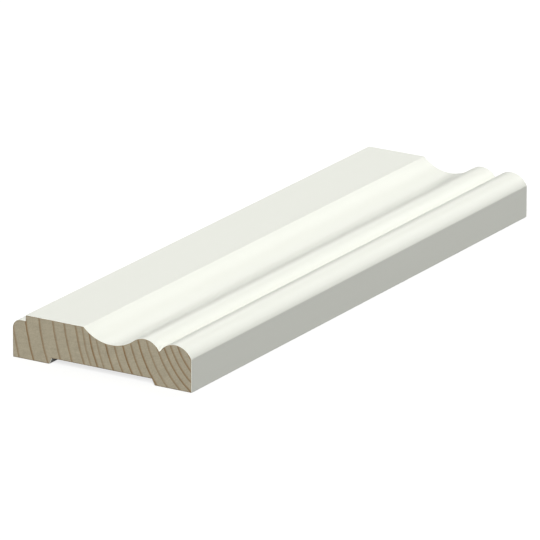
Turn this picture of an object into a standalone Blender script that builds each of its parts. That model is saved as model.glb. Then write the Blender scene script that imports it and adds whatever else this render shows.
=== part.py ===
"""A length of painted pine door casing, lying on its back with its moulded face up.

It is one piece of wood, with one section along its whole length: a rounded outer edge with a
ledge, a flat, a cove that runs into a bead, and a nose at the inner edge. The back is relieved
between two feet, so that it beds on an uneven wall. Both ends are sawn square and bare.

X runs across the width, from the outer edge at the wall to the inner edge at the door.
Y runs along the length. Z is up, out of the moulded face. The origin is on the plane of the
feet, under the middle of the piece.
"""

import math

import bmesh
import bpy

MM = 0.001

# The planed stock that the section is cut from.
LENGTH = 300 * MM
WIDTH = 95 * MM
THICKNESS = 21 * MM

# The outer edge: a rounded corner, a ledge, and a square step up to the flat.
OUTER_CORNER_RADIUS = 4.5 * MM
STEP_WIDTH = 7.1 * MM
STEP_DEPTH = 2.8 * MM

# The moulding. Depths are measured down from the face. The flat takes the width that is left.
COVE_RADIUS = 20.2 * MM
COVE_DEPTH = 6 * MM
BEAD_RADIUS = 9.1 * MM
QUIRK_DEPTH = 4.7 * MM
QUIRK_ROOT_RADIUS = 0.4 * MM
NOSE_RADIUS = 9.5 * MM
NOSE_DROP = 5.4 * MM

# The relieved back, whose walls lean out towards its mouth.
FOOT_WIDTH = 19.5 * MM
RELIEF_DEPTH = 2.9 * MM
RELIEF_WALL_LEAN = math.radians(27)

# How far the straight sides of an arc may stray from it, and the least bend that is an arris.
CHORD_ERROR = 0.005 * MM
ARRIS_ANGLE = math.radians(20)

PAINT_COLOUR = (0.84, 0.84, 0.78, 1)
PAINT_ROUGHNESS = 0.4
PINE_COLOUR = (0.42, 0.34, 0.23, 1)
PINE_ROUGHNESS = 0.75


def half_chord(radius, depth):
    """Half the width of the slice of this depth that is cut off a circle."""
    return math.sqrt(depth * (2 * radius - depth))


def heading(start, end):
    """The angle of the line from one point to another, anticlockwise from +X."""
    return math.atan2(end[1] - start[1], end[0] - start[0])


def arc(centre, radius, start, end):
    """Points along an arc from one angle to another, both ends included."""
    step = 2 * math.acos(1 - CHORD_ERROR / radius)
    count = math.ceil(abs(end - start) / step)
    angles = [start + (end - start) * i / count for i in range(count + 1)]
    return [(centre[0] + radius * math.cos(a), centre[1] + radius * math.sin(a)) for a in angles]


def resting_centre(left, left_radius, right, right_radius, radius):
    """Centre of the circle that rests in the groove between two others, touching both."""
    span = math.dist(left, right)
    from_left = left_radius + radius
    from_right = right_radius + radius
    along = (span**2 + from_left**2 - from_right**2) / (2 * span)
    above = math.sqrt(from_left**2 - along**2)
    tilt = heading(left, right)
    return (
        left[0] + along * math.cos(tilt) - above * math.sin(tilt),
        left[1] + along * math.sin(tilt) + above * math.cos(tilt),
    )


def outer_edge(outer):
    """From the rounded corner, over the ledge, to the outer end of the flat."""
    ledge = THICKNESS - STEP_DEPTH
    corner = (outer + OUTER_CORNER_RADIUS, ledge - OUTER_CORNER_RADIUS)
    step = outer + STEP_WIDTH
    return arc(corner, OUTER_CORNER_RADIUS, math.pi, math.pi / 2) + [(step, ledge), (step, THICKNESS)]


def moulding(inner):
    """From the inner end of the flat, over cove, bead, quirk and nose, to the inner arris.

    The circles are placed one by one from the inner edge outwards. The nose ends at the arris,
    bead and nose meet in the quirk, and the cove is tangent to the bead.
    """
    nose_x = inner - half_chord(NOSE_RADIUS, NOSE_DROP)
    quirk_x = nose_x - half_chord(NOSE_RADIUS, QUIRK_DEPTH)
    bead_x = quirk_x - half_chord(BEAD_RADIUS, QUIRK_DEPTH)
    cove_x = bead_x - half_chord(COVE_RADIUS + BEAD_RADIUS, COVE_DEPTH)

    nose = (nose_x, THICKNESS - NOSE_RADIUS)
    bead = (bead_x, THICKNESS - BEAD_RADIUS)
    cove = (cove_x, THICKNESS - COVE_DEPTH + COVE_RADIUS)
    root = resting_centre(bead, BEAD_RADIUS, nose, NOSE_RADIUS, QUIRK_ROOT_RADIUS)
    flat_end = (cove_x - half_chord(COVE_RADIUS, COVE_DEPTH), THICKNESS)
    arris = (inner, THICKNESS - NOSE_DROP)

    return (
        arc(cove, COVE_RADIUS, heading(cove, flat_end), heading(cove, bead))
        + arc(bead, BEAD_RADIUS, heading(bead, cove), heading(bead, root))[1:]
        + arc(root, QUIRK_ROOT_RADIUS, heading(root, bead), heading(root, nose))[1:]
        + arc(nose, NOSE_RADIUS, heading(nose, root), heading(nose, arris))[1:]
    )


def relieved_back(outer, inner):
    """From the inner foot, over the relief, to the outer foot."""
    lean = RELIEF_DEPTH * math.tan(RELIEF_WALL_LEAN)
    return [
        (inner, 0),
        (inner - FOOT_WIDTH, 0),
        (inner - FOOT_WIDTH - lean, RELIEF_DEPTH),
        (outer + FOOT_WIDTH + lean, RELIEF_DEPTH),
        (outer + FOOT_WIDTH, 0),
        (outer, 0),
    ]


def casing_section():
    """The outline of the section in X and Z, clockwise as seen from the near end."""
    outer = -WIDTH / 2
    inner = WIDTH / 2
    return outer_edge(outer) + moulding(inner) + relieved_back(outer, inner)


def material(name, colour, roughness):
    made = bpy.data.materials.new(name)
    made.use_nodes = True
    shader = made.node_tree.nodes["Principled BSDF"]
    shader.inputs["Base Color"].default_value = colour
    shader.inputs["Roughness"].default_value = roughness
    shader.inputs["Metallic"].default_value = 0
    made.diffuse_color = colour
    return made


def casing_mesh():
    """The section drawn out along the length. The sawn ends take the second material."""
    shape = bmesh.new()
    near_corners = [shape.verts.new((x, -LENGTH / 2, z)) for x, z in casing_section()]
    near_end = shape.faces.new(near_corners)
    drawn = bmesh.ops.extrude_face_region(shape, geom=[near_end], use_keep_orig=True)["geom"]
    far_corners = [item for item in drawn if isinstance(item, bmesh.types.BMVert)]
    far_end = next(item for item in drawn if isinstance(item, bmesh.types.BMFace))
    bmesh.ops.translate(shape, verts=far_corners, vec=(0, LENGTH, 0))
    bmesh.ops.recalc_face_normals(shape, faces=shape.faces)
    for sawn_end in (near_end, far_end):
        sawn_end.material_index = 1

    mesh = bpy.data.meshes.new("casing")
    shape.to_mesh(mesh)
    shape.free()
    return mesh


def build_casing():
    mesh = casing_mesh()
    mesh.materials.append(material("white_paint", PAINT_COLOUR, PAINT_ROUGHNESS))
    mesh.materials.append(material("bare_pine", PINE_COLOUR, PINE_ROUGHNESS))
    mesh.shade_smooth()
    mesh.set_sharp_from_angle(angle=ARRIS_ANGLE)
    casing = bpy.data.objects.new("casing", mesh)
    bpy.context.scene.collection.objects.link(casing)


for leftover in list(bpy.data.objects):
    bpy.data.objects.remove(leftover)
build_casing()
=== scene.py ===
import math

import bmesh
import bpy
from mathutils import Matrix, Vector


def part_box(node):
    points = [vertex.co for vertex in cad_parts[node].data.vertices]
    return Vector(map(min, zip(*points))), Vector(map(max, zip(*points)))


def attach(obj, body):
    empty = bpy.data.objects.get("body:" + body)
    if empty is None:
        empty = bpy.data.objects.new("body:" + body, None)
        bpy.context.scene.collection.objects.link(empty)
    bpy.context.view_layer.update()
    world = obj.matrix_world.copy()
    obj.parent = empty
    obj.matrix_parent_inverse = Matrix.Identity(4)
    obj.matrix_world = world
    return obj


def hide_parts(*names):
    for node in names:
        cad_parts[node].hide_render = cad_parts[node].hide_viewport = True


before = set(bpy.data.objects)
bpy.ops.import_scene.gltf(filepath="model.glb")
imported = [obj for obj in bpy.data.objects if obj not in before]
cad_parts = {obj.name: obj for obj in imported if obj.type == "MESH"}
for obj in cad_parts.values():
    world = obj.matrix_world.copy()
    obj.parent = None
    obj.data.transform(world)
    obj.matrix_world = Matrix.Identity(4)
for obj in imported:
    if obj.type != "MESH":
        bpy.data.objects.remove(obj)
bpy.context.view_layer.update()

# The looks of a length of door casing: painted pine, sawn square and bare at both ends, lying on
# its relieved back on a pale floor. X is the width, Y the length, and Z is up. Meshes and places
# are in metres, and the patterns of the materials in millimetres.

MM = 0.001

# The camera, on the moulded side, looking a little down on the near end.
CAMERA_AZIMUTH = 31.64
CAMERA_ELEVATION = 18.24
CAMERA_DISTANCE = 3.221
CAMERA_LENS_MM = 463.4
CAMERA_AIM = Vector((-2.54, -2.57, 7.4)) * MM

# Large soft lights far off: where each stands, in degrees, and how strong it is. The key light is
# polarised, a little green from its filter, and leaves no glare on the paint.
LIGHTS = {
    "key_light": {"azimuth": 29, "elevation": 38, "strength": 3.85},
    "back_light": {"azimuth": 166, "elevation": 22, "strength": 0.98},
    "far_side_light": {"azimuth": 197, "elevation": 28, "strength": 0.31},
    "high_side_light": {"azimuth": 223, "elevation": 45, "strength": 0.79},
    "low_side_light": {"azimuth": -90, "elevation": 8, "strength": 0.14},
}
LIGHT_SPREAD = math.radians(40)
FILTER_COLOUR = (0.98, 0.99, 0.96)

# The floor is a white table lit from below, so that shadows on it stay faint. It sends the piece
# no soft light, and only shows in its gloss.
FLOOR_SIZE = 30
FLOOR_GAP = 0.1 * MM
FLOOR_COLOUR = (0.3, 0.3, 0.3, 1)
FLOOR_GLOW = 0.75
FLOOR_GLOW_COLOUR = (1, 1, 1, 1)

# Every arris is eased a little. At a sawn end the paint's edge slopes in to the wood, and the
# wood next to it is darker, where the paint has soaked in. The bare face inside that is trimmed
# at its corners, so that it has as many of them as the paint's edge, and the two can be bridged.
ARRIS_ANGLE = math.radians(20)
ARRIS_ROUNDING = 0.2 * MM
ARRIS_SEGMENTS = 5
PAINT_EDGE = 0.18 * MM
SOAK_WIDTH = 0.4 * MM
TRIM = 0.01 * MM
WELD = 0.001 * MM

# The paint outside, and the one thin coat on the back. The wood's colour shows through that coat
# in streaks, and its relief stands out this many times more than through the paint.
PAINT_COLOUR = (0.75, 0.757, 0.70)
PAINT_ROUGHNESS = 0.35
PRIMER_COLOUR = (0.70, 0.70, 0.64, 1)
PRIMED_WOOD_COLOUR = (0.55, 0.47, 0.34, 1)
PRIMER_ROUGHNESS = 0.8
PRIMER_SHINE = 0.15
PRIMER_RELIEF = 10

# The bare wood: pale early wood and dark late wood in each yearly ring. Where paint has soaked
# in, its colour is this share of the way to the dark one.
EARLY_WOOD_COLOUR = (0.41, 0.36, 0.266, 1)
LATE_WOOD_COLOUR = (0.23, 0.144, 0.067, 1)
WOOD_ROUGHNESS = 0.8
SOAK_SHARE = 0.8

# Where the heart of the tree lay, in X and Z, how wide its rings are from each of these distances
# out, and by what part of a ring they all lie further out. Late wood is darkest just inside a
# ring's outer edge, and fades inwards. In some years it is darker than in others.
PITH = (70.9, 33)
RING_WIDTHS = ((0, 3.7), (44.4, 4.5), (75.9, 3.3), (85.8, 6), (97.8, 7.3))
RING_START = 0.04
LATE_WOOD_EDGE = 0.15
LATE_WOOD_CORE = 0.4
LATE_WOOD_WIDTH = 1.5
PALEST_YEAR = 0.55
DARKEST_YEAR = 1.05

# Rays run out from the heart across the rings.
RAYS_PER_RADIAN = 90
RAY_LENGTH = 5

# Marks of the tools: the point that the saw's marks curve round, in X and Z, how far apart they
# are, and how far apart the ripples are that the moulding cutters leave.
SAW_CENTRE = (-15, 140)
SAW_PITCH = 1.1
CUTTER_PITCH = 1.9


class Wire:
    """What comes out of one node's socket. Sums written with it add Math nodes."""

    def __init__(self, finish, socket):
        self.finish = finish
        self.socket = socket

    def __add__(self, other):
        return self.finish.maths("ADD", self, other)

    def __sub__(self, other):
        return self.finish.maths("SUBTRACT", self, other)

    def __rsub__(self, other):
        return self.finish.maths("SUBTRACT", other, self)

    def __mul__(self, other):
        return self.finish.maths("MULTIPLY", self, other)

    def __truediv__(self, other):
        return self.finish.maths("DIVIDE", self, other)

    def __pow__(self, other):
        return self.finish.maths("POWER", self, other)

    def __gt__(self, other):
        return self.finish.maths("GREATER_THAN", self, other)

    __radd__ = __add__
    __rmul__ = __mul__


class Finish:
    """One material. Its constants go on its Principled shader, and its nodes feed that shader."""

    def __init__(self, name, **constants):
        self.material = bpy.data.materials.new(name)
        self.material.use_nodes = True
        self.shader = self.material.node_tree.nodes["Principled BSDF"]
        for socket, value in constants.items():
            self.shader.inputs[socket.replace("_", " ")].default_value = value

    def node(self, kind, settings=None, inputs=None, output=0):
        """Adds a node, sets it, then feeds its sockets, and gives back one of its outputs."""
        made = self.material.node_tree.nodes.new(kind)
        for setting, value in (settings or {}).items():
            setattr(made, setting, value)
        for socket, value in (inputs or {}).items():
            self.feed(made.inputs[socket], value)
        return Wire(self, made.outputs[output])

    def feed(self, socket, value):
        if isinstance(value, Wire):
            self.material.node_tree.links.new(value.socket, socket)
        else:
            socket.default_value = value

    def maths(self, operation, *values):
        return self.node("ShaderNodeMath", {"operation": operation}, dict(enumerate(values)))

    def place(self):
        return self.node("ShaderNodeTexCoord", output="Object")

    def along(self, axis):
        """How far along X, Y or Z, in millimetres."""
        return self.node("ShaderNodeSeparateXYZ", {}, {0: self.place()}, axis) / MM

    def beside(self, centre):
        """How far across from, and above, a point in X and Z, in millimetres."""
        return self.along("X") - centre[0], self.along("Z") - centre[1]

    def noise(self, where, detail=2):
        """Soft noise about 0, roughly from -1 to 1."""
        inputs = {"Vector": where, "Scale": 1, "Detail": detail}
        return self.node("ShaderNodeTexNoise", {}, inputs) * 2 - 1

    def cloud(self, sizes, detail=2):
        """Soft noise in blots of these sizes along X, Y and Z, in millimetres."""
        scale = [1 / (size * MM) for size in sizes]
        inputs = {"Vector": self.place(), "Scale": scale}
        return self.noise(self.node("ShaderNodeMapping", {}, inputs), detail)

    def waves(self, run, pitch):
        """Even waves from -1 to 1 over a run, this far apart."""
        return self.maths("SINE", run * (2 * math.pi / pitch))

    def fade(self, amount, start, stop):
        """0 up to start, 1 from stop on, and a soft change between them."""
        inputs = {"Value": amount, "From Min": start, "From Max": stop}
        return self.node("ShaderNodeMapRange", {"interpolation_type": "SMOOTHSTEP"}, inputs)

    def mix(self, share, first, second):
        """From the first colour to the second as share goes from 0 to 1."""
        return self.node("ShaderNodeMix", {"data_type": "RGBA"}, {0: share, 6: first, 7: second}, 2)

    def dim(self, colour, factor):
        return self.node("ShaderNodeVectorMath", {"operation": "SCALE"}, {0: colour, 3: factor})

    def coat(self, colour, roughness, height):
        """Feeds the shader what varies over the surface. Height is in millimetres."""
        self.feed(self.shader.inputs["Base Color"], colour)
        self.feed(self.shader.inputs["Roughness"], roughness)
        bump = self.node("ShaderNodeBump", {}, {"Distance": MM, "Height": height})
        self.feed(self.shader.inputs["Normal"], bump)
        return self.material


def wood_under_paint(finish):
    """Relief that the wood leaves in the paint: long grain lines, and ripples from the cutters."""
    grain = finish.cloud((0.5, 30, 0.5), 3)
    ripple = finish.waves(finish.along("Y"), CUTTER_PITCH)
    return grain * 0.0015 + ripple * 0.0003


def white_paint():
    """Off-white satin paint, almost even, with long soft streaks and a faint peel."""
    finish = Finish("white_paint")
    broad_streaks = finish.cloud((9, 60, 9))
    fine_streaks = finish.cloud((0.6, 25, 0.6))
    gloss = finish.cloud((4, 15, 4))
    peel = finish.cloud((0.9, 0.9, 0.9))

    colour = finish.dim(PAINT_COLOUR, 1 + broad_streaks * 0.006 + fine_streaks * 0.004)
    roughness = PAINT_ROUGHNESS + gloss * 0.02
    return finish.coat(colour, roughness, wood_under_paint(finish) + peel * 0.0012)


def back_primer():
    """One thin coat, matt and a little streaky, on the side that goes to the wall."""
    finish = Finish("back_primer", Specular_IOR_Level=PRIMER_SHINE)
    thin = finish.fade(finish.cloud((0.8, 45, 0.8), 3), -0.1, 0.7)

    colour = finish.mix(thin * 0.35, PRIMER_COLOUR, PRIMED_WOOD_COLOUR)
    roughness = PRIMER_ROUGHNESS + thin * 0.1
    return finish.coat(colour, roughness, wood_under_paint(finish) * PRIMER_RELIEF - thin * 0.01)


def distance(across, above):
    return (across * across + above * above) ** 0.5


def late_wood(finish, radius):
    """Near 1 in the late wood of each yearly ring, less in weak years, and 0 in the early wood."""
    rings = -RING_START
    rings_per_mm = 0
    inner_rate = 0
    for start, width in RING_WIDTHS:
        change = 1 / width - inner_rate
        rings = finish.maths("MAXIMUM", radius - start, 0) * change + rings
        rings_per_mm = (radius > start) * change + rings_per_mm
        inner_rate = 1 / width

    year = finish.maths("FLOOR", rings)
    to_edge = (year + 1 - rings) / rings_per_mm
    outer_side = finish.fade(to_edge, 0, LATE_WOOD_EDGE)
    inner_side = 1 - finish.fade(to_edge, LATE_WOOD_CORE, LATE_WOOD_WIDTH)
    weather = finish.node("ShaderNodeTexWhiteNoise", {"noise_dimensions": "1D"}, {"W": year})
    darkness = weather * (DARKEST_YEAR - PALEST_YEAR) + PALEST_YEAR
    return outer_side * inner_side * darkness


def rays_across_rings(finish, across, above, radius):
    """Fine streaks that run out from the heart."""
    turn = finish.maths("ARCTAN2", above, across)
    inputs = {"X": turn * RAYS_PER_RADIAN, "Y": radius / RAY_LENGTH}
    return finish.noise(finish.node("ShaderNodeCombineXYZ", {}, inputs))


def bare_pine():
    """Sawn end grain: yearly rings, fine rays, saw marks, and a rim where paint has soaked in."""
    finish = Finish("bare_pine")
    across, above = finish.beside(PITH)
    waver = finish.cloud((9, 9, 9)) * 0.35 + finish.cloud((2, 2, 2)) * 0.08
    radius = distance(across, above) + waver
    late = late_wood(finish, radius)
    rays = rays_across_rings(finish, across, above, radius)

    stroke = distance(*finish.beside(SAW_CENTRE)) + finish.cloud((20, 20, 20)) * 0.4
    saw_marks = finish.waves(stroke, SAW_PITCH)
    fibres = finish.cloud((0.7, 0.7, 0.7), 4)
    patches = finish.cloud((5, 5, 5))

    soak = finish.node("ShaderNodeAttribute", {"attribute_name": "soak"}, output="Fac")
    brown = finish.maths("MAXIMUM", late, soak * SOAK_SHARE)
    colour = finish.mix(brown, EARLY_WOOD_COLOUR, LATE_WOOD_COLOUR)
    tone = 1 + rays * 0.14 + fibres * 0.2 + patches * 0.1 + saw_marks * 0.01
    height = late * 0.02 + rays * 0.006 + fibres * 0.012 + saw_marks * 0.004
    return finish.coat(finish.dim(colour, tone), WOOD_ROUGHNESS - late * 0.1, height)


def edit(piece, mode, start="DESELECT"):
    """Opens the piece in edit mode, with nothing selected unless start is SELECT."""
    bpy.ops.object.select_all(action="DESELECT")
    piece.select_set(True)
    bpy.context.view_layer.objects.active = piece
    bpy.ops.object.mode_set(mode="EDIT")
    bpy.ops.mesh.select_mode(type=mode)
    bpy.ops.mesh.select_all(action=start)
    return bmesh.from_edit_mesh(piece.data)


def section_face(name):
    """The casing's section as one flat face, left from the near end of a copy of its solid."""
    piece = bpy.data.objects.new(name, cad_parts["casing"].data.copy())
    bpy.context.scene.collection.objects.link(piece)
    shape = edit(piece, "FACE", "SELECT")
    bpy.ops.mesh.remove_doubles(threshold=WELD)
    bpy.ops.mesh.select_all(action="DESELECT")
    for face in shape.faces:
        face.select = face.normal.y > -math.cos(ARRIS_ANGLE)
    bpy.ops.mesh.delete(type="FACE")
    bpy.ops.mesh.select_all(action="SELECT")
    bpy.ops.mesh.dissolve_faces()
    bpy.ops.object.mode_set(mode="OBJECT")
    return piece


def bend(corner):
    """How far the outline of a flat face turns at one of its corners."""
    before, after = (edge.other_vert(corner).co - corner.co for edge in corner.link_edges)
    return math.pi - before.angle(after)


def ease_the_corners(piece, rounding):
    """Rounds every corner of the outline that is an arris."""
    shape = edit(piece, "VERT")
    for corner in shape.verts:
        corner.select = bend(corner) > ARRIS_ANGLE
    bpy.ops.mesh.bevel(offset=rounding, segments=ARRIS_SEGMENTS, affect="VERTICES")
    bpy.ops.object.mode_set(mode="OBJECT")


def sawn_face():
    """The bare wood of the near end, as far out as the paint hasn't darkened it."""
    piece = section_face("sawn_face")
    edit(piece, "FACE", "SELECT")
    bpy.ops.mesh.inset(thickness=PAINT_EDGE + SOAK_WIDTH, depth=0)
    bpy.ops.mesh.select_all(action="INVERT")
    bpy.ops.mesh.delete(type="FACE")
    bpy.ops.object.mode_set(mode="OBJECT")
    ease_the_corners(piece, TRIM)
    return piece


def paint_edge():
    """The eased outline, and the paint's edge that slopes in from it to the sawn end."""
    piece = section_face("painted_casing")
    ease_the_corners(piece, ARRIS_ROUNDING)
    edit(piece, "FACE", "SELECT")
    bpy.ops.mesh.inset(thickness=PAINT_EDGE, depth=PAINT_EDGE)
    bpy.ops.mesh.delete(type="ONLY_FACE")
    bpy.ops.mesh.select_all(action="SELECT")
    bpy.ops.transform.translate(value=(0, PAINT_EDGE, 0))
    bpy.ops.object.mode_set(mode="OBJECT")
    return piece


def finish_the_end(piece, near_end):
    """Fills in between the paint's edge and the sawn face, and marks where paint soaked in."""
    shape = edit(piece, "EDGE")
    for edge in shape.edges:
        edge.select = all(corner.co.y < near_end + WELD for corner in edge.verts)
    bpy.ops.mesh.bridge_edge_loops()
    bpy.ops.object.mode_set(mode="OBJECT")
    soak = piece.data.attributes.new("soak", "FLOAT", "POINT")
    for amount in soak.data:
        amount.value = 1
    bare_face = max(piece.data.polygons, key=lambda face: face.area)
    for corner in bare_face.vertices:
        soak.data[corner].value = 0


def draw_out(piece, near_end):
    """Draws half of the length out from the end, and mirrors the other half from it."""
    shape = edit(piece, "EDGE")
    for edge in shape.edges:
        edge.select = edge.is_boundary
    to_the_middle = -near_end - PAINT_EDGE
    bpy.ops.mesh.extrude_region_move(TRANSFORM_OT_translate={"value": (0, to_the_middle, 0)})
    bpy.ops.object.mode_set(mode="OBJECT")
    halves = piece.modifiers.new("other_half", "MIRROR")
    halves.use_axis = (False, True, False)
    halves.merge_threshold = WELD
    bpy.ops.object.modifier_apply(modifier=halves.name)
    edit(piece, "FACE", "SELECT")
    bpy.ops.mesh.normals_make_consistent(inside=False)
    bpy.ops.object.mode_set(mode="OBJECT")


def finish_each_face(piece):
    """Paint on the sides that show, one thin coat on the back, and none on the sawn ends."""
    piece.data.materials.clear()
    for material in (white_paint(), bare_pine(), back_primer()):
        piece.data.materials.append(material)
    painted, bare, primed = range(3)
    for face in piece.data.polygons:
        if abs(face.normal.y) > math.cos(ARRIS_ANGLE):
            face.material_index = bare
        elif face.normal.z < -math.sin(ARRIS_ANGLE):
            face.material_index = primed
        else:
            face.material_index = painted


def smooth(piece):
    """Smooths the rounds and keeps the flats flat, by letting the wide faces lead the normals."""
    bpy.ops.object.shade_smooth_by_angle(angle=ARRIS_ANGLE)
    lead = piece.modifiers.new("wide_faces_lead", "WEIGHTED_NORMAL")
    lead.keep_sharp = True
    bpy.ops.object.modifier_apply(modifier=lead.name)


def casing_piece():
    near_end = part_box("casing")[0].y
    bare_face = sawn_face()
    piece = paint_edge()
    bare_face.select_set(True)
    bpy.ops.object.join()
    finish_the_end(piece, near_end)
    draw_out(piece, near_end)
    finish_each_face(piece)
    smooth(piece)

    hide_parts("casing")
    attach(piece, "root")


def add_floor():
    bpy.ops.mesh.primitive_plane_add(size=FLOOR_SIZE, location=(0, 0, -FLOOR_GAP))
    floor = bpy.context.object
    floor.name = "floor"
    finish = Finish(
        "lit_table",
        Base_Color=FLOOR_COLOUR,
        Roughness=1,
        Emission_Color=FLOOR_GLOW_COLOUR,
        Emission_Strength=FLOOR_GLOW,
    )
    floor.data.materials.append(finish.material)
    floor.visible_diffuse = False


def seen_from(azimuth, elevation):
    """The direction to a camera or light. Azimuth 0 faces the near end, and 90 the inner edge."""
    turn = math.radians(azimuth)
    rise = math.radians(elevation)
    level = math.cos(rise)
    return Vector((math.sin(turn) * level, -math.cos(turn) * level, math.sin(rise)))


def facing(direction):
    """The turn of a light or camera that stands in this direction and looks at the piece."""
    return direction.to_track_quat("Z", "Y").to_euler()


def add_light(name, azimuth, elevation, strength):
    direction = seen_from(azimuth, elevation)
    bpy.ops.object.light_add(type="SUN", location=direction, rotation=facing(direction))
    light = bpy.context.object
    light.name = name
    light.data.energy = strength
    light.data.angle = LIGHT_SPREAD
    return light


def polarise(light):
    """Takes the glare off what it lights, and tints it as the filter does."""
    light.visible_glossy = False
    light.data.color = FILTER_COLOUR


def add_lights():
    lights = {name: add_light(name, **facts) for name, facts in LIGHTS.items()}
    polarise(lights["key_light"])


def add_camera():
    direction = seen_from(CAMERA_AZIMUTH, CAMERA_ELEVATION)
    place = CAMERA_AIM + direction * CAMERA_DISTANCE
    bpy.ops.object.camera_add(location=place, rotation=facing(direction))
    camera = bpy.context.object
    camera.data.lens = CAMERA_LENS_MM
    bpy.context.scene.camera = camera


casing_piece()
add_floor()
add_lights()
add_camera()
bpy.context.scene.view_settings.view_transform = "Standard"
